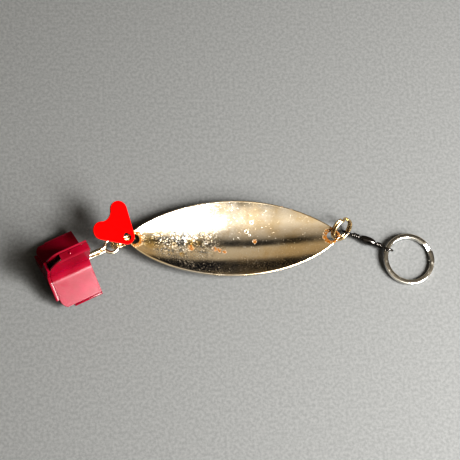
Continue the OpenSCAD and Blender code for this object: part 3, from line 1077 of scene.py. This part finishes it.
@dataclass
class HeartTag:
    """The flat heart on the rear split ring."""

    at: np.ndarray
    lobe_r: float = 3.3
    lobe_half_gap: float = 5.3
    rise: float = 8.6
    tip_r: float = 3.1
    cleft_r: float = 4.0
    thickness: float = 0.9
    hole_r: float = 1.55
    hole_x: float = 0.32
    ease: float = 0.2
    lines: int = 16
    lean_turn: float = -24.2
    droop: float = 24.0
    turn: float = 141.2

    def outline(self) -> np.ndarray:
        """Closed outline about the tip's middle: tip arc, lobe, cleft, lobe, each tangent to the next.

        Returns:
            Rows of x, y.
        """
        reach = math.hypot(self.rise, self.lobe_half_gap)
        lean = math.asin((self.lobe_r - self.tip_r) / reach)
        side = math.atan2(self.lobe_half_gap, self.rise) + lean + math.pi / 2.0
        cleft_x = self.rise + math.sqrt((self.lobe_r + self.cleft_r) ** 2 - self.lobe_half_gap**2)
        meet = math.atan2(-self.lobe_half_gap, cleft_x - self.rise)

        def arc(cx: float, cy: float, r: float, a0: float, a1: float, count: int) -> np.ndarray:
            """Points of an arc, without its last."""
            a = np.linspace(a0, a1, count, endpoint=False)
            return np.stack([cx + r * np.cos(a), cy + r * np.sin(a)], 1)

        full = 2.0 * math.pi
        return np.vstack(
            [
                arc(0.0, 0.0, self.tip_r, full - side, side, 40),
                arc(self.rise, self.lobe_half_gap, self.lobe_r, side, meet, 44),
                arc(cleft_x, 0.0, self.cleft_r, math.pi + meet - full, -math.pi - meet, 24),
                arc(self.rise, -self.lobe_half_gap, self.lobe_r, -meet, -side, 44),
            ]
        )

    def shell(self) -> Surface:
        """Works out the heart as a closed band round its hole.

        Each line runs from the hole's rim to the outline: point = hole + share (outline - hole).
        The rims are half circles of the sheet's thickness, so the loop of shares goes out over
        the top, round the outer rim, back below and up through the hole.

        Returns:
            The shell, lying flat, with its cut edges marked in the share of painted edge highlight.
        """
        rim = self.outline()
        aim = np.arctan2(rim[:, 1], rim[:, 0] + self.hole_x)
        hole = self.hole_r * np.stack([np.cos(aim), np.sin(aim)], 1) - np.array([self.hole_x, 0.0])
        half, ease, lines = self.thickness / 2.0, self.ease, self.lines
        length = np.linalg.norm(rim - hole, axis=1)[:, None]
        out = np.linspace(0.0, 1.0, lines)
        turn = np.linspace(math.pi / 2.0, -math.pi / 2.0, 7)[1:-1]
        level, round_off = np.zeros(lines), ease * np.cos(turn)
        share = np.concatenate([out, np.ones(5), out[::-1], np.zeros(5)])
        push = np.concatenate([level, round_off, level, -round_off])
        side = np.sin(turn) * ease + np.sign(np.sin(turn)) * (half - ease)
        z = np.concatenate([level + half, side, level - half, -side])
        inset = ease / length
        place = inset + (1.0 - 2.0 * inset) * share + push / length
        flat = hole[:, None] + place[..., None] * (rim - hole)[:, None]
        rounded = np.broadcast_to(z, place.shape)[..., None]
        points = np.concatenate([flat, rounded], -1).reshape(-1, 3) + np.array([2.0 * self.hole_x, 0.0, 0.0])
        # Outer rim share that carries the painted edge highlight
        edge = np.broadcast_to((share > 0.99) * np.clip(np.abs(push) / ease, 0.0, 1.0), place.shape)
        return Surface(points, grid_faces(len(rim), len(z), True, True).tolist(), edge.ravel())

    def build(self) -> None:
        """Makes the heart in place and dresses it."""
        heart = self.shell().moved(self.at, self.lean_turn, self.droop, self.turn - self.lean_turn)
        obj = heart.as_object("heart_sheet")
        finished(obj, "heart", "heart_red", HeartFinish().material(), 50.0, "heart_tag")


@dataclass
class TrebleHook:
    """Treble hook: one wire makes the eye and two bends, a second lies on it and makes the third."""

    at: np.ndarray
    turn: float = 24.5
    wire: float = 1.3
    eye_r: float = 2.45
    eye_x: float = 9.8
    bend_r: float = 5.1
    shank: float = 18.2
    leg: float = 2.6
    point: float = 3.2
    steps: int = 60
    slack: float = 0.01
    eye_gap: float = 0.25
    single_gap: float = 2.2
    solder_r: float = 1.15
    solder_rise: float = 0.42
    solder_gaps: tuple[float, float] = (3.0, 1.6)

    @property
    def half(self) -> float:
        """Half the distance between the two runs of the long wire."""
        return self.wire / 2.0 + self.slack

    @property
    def bend_x(self) -> float:
        """Middle of the bends along the hook."""
        return self.eye_x - self.shank

    def bend(self, fin: float, start: np.ndarray) -> tuple[np.ndarray, np.ndarray]:
        """Half circle and straight point in the plane of one fin, from the end of the shank outward.

        Args:
            fin: angle of the fin in the plane across the hook, in degrees.
            start: where the shank ends.

        Returns:
            The path and the normal of its plane.
        """
        out = np.array([0.0, math.cos(math.radians(fin)), math.sin(math.radians(fin))])
        angle = np.linspace(0.0, math.pi, self.steps)[:, None]
        forward = np.array([1.0, 0.0, 0.0])
        arc = start + self.bend_r * (1.0 - np.cos(angle)) * out - self.bend_r * np.sin(angle) * forward
        run = np.linspace(0.05, self.leg + self.point, 30)[:, None]
        return np.vstack([arc, arc[-1] + run * forward]), np.cross(forward, out)

    def shank_run(self, x: float, y: float, z: float) -> np.ndarray:
        """Straight run of wire from x back to the bends, without its last point."""
        back = np.linspace(x, self.bend_x, self.steps)[:-1]
        return with_x(back, np.broadcast_to([y, z], (len(back), 2)))

    def thinned(self, path: np.ndarray, both: bool) -> np.ndarray:
        """Wire size along a path: 1, falling over the point's length to a sharp end as 1 - t^1.6.

        Args:
            path: rows of points.
            both: whether both ends are points.

        Returns:
            The size at each point of the path.
        """
        run = run_along(path)
        back = run[-1] - run
        left = np.minimum(back, run) if both else back
        t = np.clip(1.0 - left / self.point, 0.0, 1.0)
        return np.maximum(1.0 - t**1.6, 0.04)

    def double(self) -> Surface:
        """The long wire: point, bend, shank, eye, shank, bend and point in one run.

        The direction across it turns smoothly from straight up at the eye to the normal of each bend.

        Returns:
            The wire.
        """
        opening = math.asin(self.half / self.eye_r)
        up = np.array([0.0, 0.0, 1.0])
        paths, across = [], []
        for side, fin in ((1.0, -30.0), (-1.0, 210.0)):
            path, normal = self.bend(fin, np.array([self.bend_x, side * self.half, 0.0]))
            neck = self.eye_x - self.eye_r * math.cos(opening) - self.eye_gap
            shank = self.shank_run(neck, side * self.half, 0.0)
            share = smooth_step(np.linspace(0.0, 1.0, len(shank)))[:, None]
            paths.append(np.vstack([shank, path]))
            lean = unit((1.0 - share) * up + share * side * normal)
            across.append(np.vstack([lean, np.broadcast_to(side * normal, path.shape)]))
        around = np.linspace(math.pi - opening, -math.pi + opening, 90)[1:-1]
        eye = [self.eye_x + self.eye_r * np.cos(around), self.eye_r * np.sin(around), 0.0 * around]
        whole = np.vstack([paths[0][::-1], np.stack(eye, 1), paths[1]])
        reference = np.vstack([across[0][::-1], np.broadcast_to(up, (len(around), 3)), across[1]])
        return tube(whole, self.thinned(whole, True), reference, round_section(self.wire / 2.0))

    def single(self) -> Surface:
        """The short wire on top: shank, bend and point.

        Returns:
            The wire.
        """
        lift = math.sqrt((self.wire + self.slack) ** 2 - self.half**2) + self.slack
        path, normal = self.bend(90.0, np.array([self.bend_x, 0.0, lift]))
        whole = np.vstack([self.shank_run(self.eye_x - self.eye_r - self.single_gap, 0.0, lift), path])
        size = self.thinned(whole, False)
        size[:4] = np.array([WIRE_TIP, 0.8, 0.94, 1.0])
        return tube(whole, size, normal, round_section(self.wire / 2.0))

    def solder(self) -> Surface:
        """Solder round the shank: a rounded bead whose radius swells and sinks in slow waves.

        Returns:
            The bead.
        """
        share = np.linspace(0.0, 1.0, self.steps)
        back, front = self.solder_gaps
        x = np.linspace(self.bend_x + back, self.eye_x - self.eye_r - front, self.steps)
        ends = np.sqrt(np.clip(1.0 - np.abs(2.0 * share - 1.0) ** 10, 0.0, 1.0))
        waves = 0.93 + 0.05 * np.sin(9.0 * share) + 0.02 * np.sin(31.0 * share)
        radius = self.solder_r * waves * (0.4 + 0.6 * ends)
        return revolved(radius, x, 32).moved(np.array([0.0, 0.0, self.solder_rise]))

    def build(self) -> None:
        """Makes the two wires and the solder."""
        cream, brown = (WIRE_FINISHES[p].material() for p in (Plating.CREAM, Plating.SOLDER))
        for name, surface, slot, material, node in (
            ("hook_wire_double", self.double(), Plating.CREAM, cream, "hook_double"),
            ("hook_wire_single", self.single(), Plating.CREAM, cream, "hook_single"),
            ("hook_solder_bead", self.solder(), Plating.SOLDER, brown, "hook_braze"),
        ):
            obj = surface.moved(self.at, self.turn).as_object(name)
            finished(obj, "treble", slot.value, material, 60.0, node)


@dataclass
class HookCover:
    """Three-finned plastic cover: a V base below and two V leaves hinged to its lower fins."""

    at: np.ndarray
    turn: float = 24.5
    fin_r: float = 14.6
    fin_t: float = 3.9
    wall: float = 0.7
    length: float = 15.6
    corner_r: float = 4.6
    valley_r: float = 4.5
    end_wall: float = 1.2
    bead_d: float = 0.9
    play: float = 0.1
    pip_x: float = 7.2
    pip_d: float = 1.2
    pip_h: float = 0.35
    ease: float = 0.12
    edge_inset: float = 0.05
    strip_inset: float = 0.02

    @property
    def straight(self) -> float:
        """Length of a fin's edge in front of its rounded corner."""
        return self.length - self.corner_r

    def fin_start(self, reach: np.ndarray) -> np.ndarray:
        """Where a fin starts at each distance from the middle line: a quarter circle at its corner."""
        over = np.clip(reach - (self.fin_r - self.corner_r), 0.0, self.corner_r)
        return -self.straight - np.sqrt(self.corner_r**2 - over**2)

    def leaf(self, first: float, r0: float, r1: float) -> Surface:
        """One V leaf as a closed shell of constant wall.

        The profile is a fin's outer face, the hollow's arc and the next fin's outer face, and
        again one wall further in. Each point is carried along the cover from the fin's rounded
        start to the open end.

        Args:
            first: angle of its first fin, in degrees.
            r0: where the first plate ends.
            r1: where the second plate ends.

        Returns:
            The shell, with its free edges marked in the share of painted edge highlight.
        """
        depth = (self.valley_r + self.fin_t / 2.0) / math.sin(math.pi / 3.0)
        tangent = depth / 2.0
        t = 1.0 - np.cos(np.linspace(0.0, math.pi / 2.0, 22))
        s60, c60 = math.sin(math.pi / 3.0), 0.5
        d0 = r0 + (tangent - r0) * t
        d1 = (r1 + (tangent - r1) * t)[::-1]
        hollow = np.radians(np.linspace(150.0, 210.0, 26)[1:-1])

        def skin(offset: float) -> np.ndarray:
            """Profile of the face at that distance from a fin's middle."""
            r = self.valley_r + self.fin_t / 2.0 - offset
            arc = np.stack([depth + r * np.cos(hollow), r * np.sin(hollow)], 1)
            up = d0[:, None] * [c60, s60] + offset * np.array([s60, -c60])
            down = d1[:, None] * [c60, -s60] + offset * np.array([s60, c60])
            return rolled(np.vstack([up, arc, down]), first - 60.0)

        outer, inner = skin(self.fin_t / 2.0), skin(self.fin_t / 2.0 - self.wall)
        start = self.fin_start(np.concatenate([d0, np.full(len(hollow), tangent), d1]))
        share = np.concatenate([[0.0], np.linspace(0.0, 1.0, 26), [1.0]])
        inward, through = np.zeros(len(share)), np.zeros(len(share))
        inward[[1, -2]] = self.ease, -self.ease
        through[[0, -1]] = self.ease / self.wall

        def side(face: np.ndarray, other: np.ndarray) -> np.ndarray:
            """A face carried along the cover, its first and last lines eased toward the other face."""
            flat = face[:, None] + through[:, None] * (other - face)[:, None]
            return with_x(start[:, None] * (1.0 - share) + inward, flat)

        loop = np.concatenate([side(outer, inner), side(inner, outer)[:, ::-1]], 1)
        # Free edges, which get the painted edge highlight
        mark = np.zeros(loop.shape[:2])
        mark[:, [0, len(share) - 1, len(share), -1]] = 1.0
        mark[[0, -1]] = 1.0
        return closed(loop, False, mark.ravel())

    def bar(
        self,
        x0: float,
        x1: float,
        outline: np.ndarray,
        step: float = 0.08,
        end: float = 0.9,
        fan: bool = False,
    ) -> Surface:
        """A straight bar along the cover, a little smaller at both ends.

        Args:
            x0: where it starts.
            x1: where it ends.
            outline: closed outline across it, rows of y, z.
            step: length of each smaller end.
            end: size of the outline there.
            fan: whether its ends are fans of triangles.

        Returns:
            The closed bar.
        """
        x = np.array([x0, x0 + step, x1 - step, x1])
        scale = np.array([end, 1.0, 1.0, end])[:, None, None]
        middle = outline.mean(0)
        return closed(with_x(x[:, None], middle + scale * (outline - middle)), fan)

    def rectangle(self, angle: float, r0: float, r1: float, s0: float, s1: float) -> np.ndarray:
        """Corners of a rounded rectangle laid along a fin, from r0 to r1 and from side s0 to s1."""
        shape = flat_section(r1 - r0, s1 - s0, 14.0, 32) + np.array([(r0 + r1) / 2.0, (s0 + s1) / 2.0])
        return rolled(shape, angle)

    def bead(self, angle: float, side: float) -> np.ndarray:
        """Outline of the hinge bead at the upper corner of a lower fin.

        Args:
            angle: direction of the fin, in degrees.
            side: which side of it, -1 or 1.

        Returns:
            Rows of y, z.
        """
        inset = self.bead_d / 2.0
        middle = np.array([self.fin_r - inset, side * (self.fin_t / 2.0 - inset)])
        return round_section(inset) + rolled(middle, angle)

    def end_plate(self) -> Surface:
        """Y-shaped wall across the bend end: an outline seen from the middle, given thickness.

        The distance to the outline at an angle is the smallest of the arm's side, the arm's end
        and, between arms, the rounded hollow: min(half width / sin, arm / cos).

        Returns:
            The wall.
        """
        angle = np.radians(np.linspace(0.0, 360.0, 241)[:-1])
        arm = self.fin_r - self.corner_r
        fins = np.radians([[90.0], [210.0], [330.0]])
        off = np.abs((angle - fins + math.pi) % (2.0 * math.pi) - math.pi).min(0)
        side = self.fin_t / 2.0 / np.maximum(np.sin(off), 1e-6)
        end = arm / np.maximum(np.cos(off), 1e-6)
        core = 0.9 * self.fin_t * math.cos(math.pi / 6.0) / np.maximum(np.cos(math.pi / 3.0 - off), 1e-6)
        rim = np.maximum(np.minimum(side, end), np.minimum(core, end))
        around = np.stack([rim * np.cos(angle), rim * np.sin(angle)], 1)
        return self.bar(-self.length - self.end_wall, -self.length - self.play, around, 0.15, 0.985, True)

    def base(self) -> Surface:
        """Lower V, edge walls, hinge beads and end plate.

        Returns:
            The base.
        """
        near, far = 210.0, -30.0
        plate = self.fin_r - self.wall / 2.0
        half = self.fin_t / 2.0
        surface = self.leaf(far, plate, plate)
        for angle, side in ((near, -1.0), (far, 1.0)):
            bead_r = self.bead_d / 2.0
            low, high = (-half, half - bead_r) if side > 0.0 else (-half + bead_r, half)
            rim = self.fin_r - self.edge_inset
            wall = self.rectangle(angle, rim - self.wall, rim, low, high)
            surface = surface.with_shell(self.bar(-self.straight, 0.0, wall))
            surface = surface.with_shell(self.bar(-self.straight, 0.0, self.bead(angle, side)))
        return surface.with_shell(self.end_plate())

    def near_leaf(self) -> Surface:
        """Near upper leaf with the strip that shuts the top fin and its pip.

        Returns:
            The leaf.
        """
        hinge = self.fin_r - self.bead_d - self.play / 2.0
        half = self.fin_t / 2.0
        surface = self.leaf(210.0, hinge, self.fin_r)
        low, high = -half + self.wall + self.play, half - self.strip_inset
        strip = self.rectangle(90.0, self.fin_r - self.wall, self.fin_r, low, high)
        surface = surface.with_shell(self.bar(-self.straight, 0.0, strip))
        t = np.linspace(0.0, 1.0, 8)
        height = self.fin_r - self.strip_inset + self.pip_h * t
        dome = revolved(self.pip_d / 2.0 * np.cos(t * math.pi / 2.2), height, 24)
        dome.points = dome.points[:, [1, 2, 0]] - np.array([self.pip_x, 0.0, 0.0])
        return surface.with_shell(dome)

    def far_leaf(self) -> Surface:
        """Far upper leaf."""
        return self.leaf(90.0, self.fin_r, self.fin_r - self.bead_d - self.play / 2.0)

    def build(self) -> None:
        """Makes the base and both leaves."""
        material = CoverFinish().material()
        for name, surface, body, node in (
            ("cover_shell_base", self.base(), "treble", "cover_base"),
            ("cover_shell_near", self.near_leaf(), "near_leaf", "cover_near_leaf"),
            ("cover_shell_far", self.far_leaf(), "far_leaf", "cover_far_leaf"),
        ):
            obj = surface.moved(self.at, self.turn).as_object(name)
            finished(obj, body, "cover_crimson", material, 38.0, node)


# ---- stage ----


@dataclass(frozen=True)
class Panel:
    """A flat light.

    Attributes:
        name: its name.
        way: direction from the lure's middle to the light.
        long_way: direction that its long side follows.
        far: distance in metres.
        width: short side in metres.
        length: long side in metres.
        power: watts.
        colour: its colour.
    """

    name: str
    way: Triple
    long_way: Triple
    far: float
    width: float
    length: float
    power: float
    colour: Triple = (1.0, 0.98, 0.95)


@dataclass
class Stage:
    """Camera, soft lights, pale floor and surroundings.

    Attributes:
        eye: where the camera stands, in millimetres.
        aim: where it looks.
        roll: its turn about the line of sight, in degrees.
        lens: its focal length.
        band_way: direction across the room's bands.
        bands: place and colour of each band.
        dark_sides: directions where the room falls dark, and where the fall starts and ends.
        side_light: what is left of the light there.
        floor_side: half the floor's side, in metres.
        floor_cloud: pattern of the floor's colour.
        floor_tones: its two colours.
        panels: the lights.
    """

    eye: Triple = (-70.93, -161.39, 500.48)
    aim: Triple = (-2.057, 10.118, 0.0)
    roll: float = 19.774
    lens: float = 109.88
    band_way: Triple = (0.0, 0.943, -0.33)
    bands: tuple[tuple[float, Triple], ...] = (
        (0.02, (0.04, 0.04, 0.04)),
        (0.07, (0.50, 0.46, 0.40)),
        (0.20, (0.68, 0.62, 0.53)),
        (0.36, (0.40, 0.355, 0.295)),
        (0.46, (0.21, 0.185, 0.15)),
        (0.49, (0.015, 0.015, 0.015)),
        (0.562, (0.015, 0.014, 0.014)),
        (0.60, (0.42, 0.36, 0.27)),
        (0.76, (0.38, 0.32, 0.235)),
        (0.83, (0.012, 0.012, 0.014)),
    )
    dark_sides: tuple[tuple[Triple, float, float], ...] = (
        ((-1.0, 0.0, 0.0), 0.42, 0.75),
        ((1.0, 0.0, 0.0), 0.70, 0.92),
    )
    side_light: float = 0.06
    floor_side: float = 3.0
    floor_cloud: Grain = Grain(900.0, 4.0, 0.55, 0.3, 0.7)
    floor_tones: tuple[Triple, Triple] = ((0.106, 0.109, 0.110), (0.132, 0.135, 0.136))
    panels: tuple[Panel, ...] = (
        Panel("window", (0.35, -0.25, 0.90), (-0.18, 0.89, 0.42), 0.8, 0.18, 0.36, 0.36),
        Panel("sill", (0.58, -0.60, 0.55), (0.0, 0.0, 1.0), 0.8, 0.36, 0.34, 7.0),
        Panel("lamp", (0.60, -0.28, 0.75), (0.0, 1.0, 0.0), 0.55, 0.20, 0.20, 7.8),
    )

    def camera(self) -> None:
        """Sets the camera from its eye point, aim point and roll about the line of sight."""
        eye, aim = np.array(self.eye) * MM, np.array(self.aim) * MM
        forward = unit(aim - eye)
        level = unit(np.cross(forward, [0.0, 0.0, 1.0]))
        up = np.cross(level, forward)
        roll = math.radians(self.roll)
        right = math.cos(roll) * level + math.sin(roll) * up
        over = math.cos(roll) * up - math.sin(roll) * level
        data = bpy.data.cameras.new("camera")
        data.lens = self.lens
        data.sensor_width = 36.0
        data.clip_start = 0.01
        data.clip_end = 20.0
        bpy.context.scene.camera = self.stood("camera", data, [right, over, -forward, eye])

    def light(self, panel: Panel) -> None:
        """Adds one area light, turned so that it looks at the lure's middle.

        Args:
            panel: the light.
        """
        data = bpy.data.lights.new(panel.name, "AREA")
        data.shape = "RECTANGLE"
        data.size = panel.width
        data.size_y = panel.length
        data.energy = panel.power
        data.color = panel.colour
        back = unit(np.array(panel.way))
        side = unit(np.cross(panel.long_way, back))
        self.stood(panel.name, data, [side, np.cross(back, side), back, panel.far * back])

    def stood(self, name: str, data: bpy.types.ID, axes: list[np.ndarray]) -> bpy.types.Object:
        """Puts a camera or light in the scene by the ways of its own X, Y and Z and its place.

        Args:
            name: its name.
            data: the camera or light.
            axes: directions of its X, Y and Z, then its place in metres.

        Returns:
            The new object.
        """
        pose = np.eye(4)
        pose[:3, :4] = np.stack(axes, 1)
        obj = bpy.data.objects.new(name, data)
        obj.matrix_world = Matrix(pose.tolist())
        bpy.context.scene.collection.objects.link(obj)
        return obj

    def floor(self) -> None:
        """A pale floor under the lure, with a faint grain."""
        side = self.floor_side
        corners = [(-side, -side, 0.0), (side, -side, 0.0), (side, side, 0.0), (-side, side, 0.0)]
        mesh = bpy.data.meshes.new("floor")
        mesh.from_pydata(corners, [], [[0, 1, 2, 3]])
        obj = bpy.data.objects.new("floor", mesh)
        bpy.context.scene.collection.objects.link(obj)
        recipe = Recipe("floor")
        colour = recipe.blend(recipe.clouds(self.floor_cloud), *self.floor_tones)
        grit = recipe.noise(Grain(1700.0, 4.0, 0.7))
        weave = recipe.noise(Grain(900.0, 3.0, 0.6), recipe.spread((0.6, 2.2, 1.0), 3.0))
        recipe.bump([(grit, 0.06, 0.5), (weave, 0.05, 0.5)])
        mesh.materials.append(recipe.set(Base_Color=colour, Roughness=0.9, Specular_IOR_Level=0.2))

    def surroundings(self) -> None:
        """A room in bands from the near side to the far: bright, a dark beam, dim, and a dark far wall."""
        world = bpy.data.worlds.new("room")
        bpy.context.scene.world = world
        world.use_nodes = True
        tree = world.node_tree
        sky = tree.nodes["Background"]
        nodes = Nodes(tree, tree.nodes.new("ShaderNodeTexCoord").outputs["Generated"])
        across = {"Value": nodes.along(self.band_way), "From Min": -1.0}
        share = nodes.step("ShaderNodeMapRange", across, "Result")
        ramp = tree.nodes.new("ShaderNodeValToRGB")
        ramp.color_ramp.interpolation = "EASE"
        stops = ramp.color_ramp.elements
        for number, (at, colour) in enumerate(self.bands):
            stop = stops[number] if number < 2 else stops.new(at)
            stop.position = at
            stop.color = (*colour, 1.0)
        nodes.put(ramp.inputs["Fac"], share)
        nodes.put(sky.inputs["Color"], ramp.outputs["Color"])
        strength: object = 1.0
        for way, start, end in self.dark_sides:
            fade = nodes.ranged(nodes.along(way), start, end, 1.0, self.side_light)
            strength = nodes.combined("MULTIPLY", strength, fade)
        nodes.put(sky.inputs["Strength"], strength)

    def build(self) -> None:
        """Sets everything up, with a contrasty view."""
        view = bpy.context.scene.view_settings
        view.view_transform = "Standard"
        view.look = "High Contrast"
        self.camera()
        self.floor()
        self.surroundings()
        for panel in self.panels:
            self.light(panel)


# ---- main ----


def key_ring(swivel: Swivel) -> SplitRing:
    """The key ring, one edge on the table and the other leaning on the swivel's rear eye.

    Args:
        swivel: the swivel that it hangs on.

    Returns:
        The ring, in place.
    """
    lean, heading, aim = math.radians(KEY_LEAN), math.radians(swivel.turn), math.radians(KEY_TURN)
    rear_eye = swivel.at + swivel.rear_loop_x * np.array([math.cos(heading), math.sin(heading), 0.0])
    at = rear_eye + KEY_R * math.cos(lean) * np.array([math.cos(aim), math.sin(aim), 0.0])
    at[2] = KEY_OUTER_R * math.sin(lean) + KEY_HALF_T * math.cos(lean)
    return SplitRing(
        "key_ring_coil",
        at,
        turn=KEY_TURN,
        tilt=KEY_LEAN,
        spin=60.0,
        plating=Plating.BRIGHT,
        body="key_ring",
        node="key_ring",
        radius=KEY_R,
        pitch=0.95,
        section=flat_section(1.7, 0.9),
    )


def main() -> None:
    """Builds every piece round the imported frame."""
    logging.basicConfig(level=logging.INFO, format="%(message)s")
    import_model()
    Stage().build()
    Blade().build()
    front = SplitRing(
        "split_ring_front",
        BLADE_AT + FRONT_RING_AT,
        turn=-51.6,
        tilt=62.2,
        spin=150.0,
        plating=Plating.BRASSY,
        body="front_ring",
        node="front_split_ring",
    )
    rear = SplitRing(
        "split_ring_rear",
        BLADE_AT + REAR_RING_AT,
        turn=-69.8,
        tilt=94.1,
        spin=30.0,
        plating=Plating.BRASSY,
        body="rear_ring",
        node="rear_split_ring",
    )
    front.build()
    rear.build()
    swivel = Swivel(front.point(SWIVEL_ANGLE))
    swivel.build()
    key_ring(swivel).build()
    HeartTag(rear.point(HEART_ANGLE) + HEART_SHIFT).build()
    height = HookCover.fin_r * math.sin(LOW_FIN) + HookCover.fin_t / 2.0 * math.cos(LOW_FIN)
    middle = BLADE_AT + COVER_AT + np.array([0.0, 0.0, height])
    TrebleHook(middle).build()
    HookCover(middle).build()


if __name__ == "__main__":
    main()
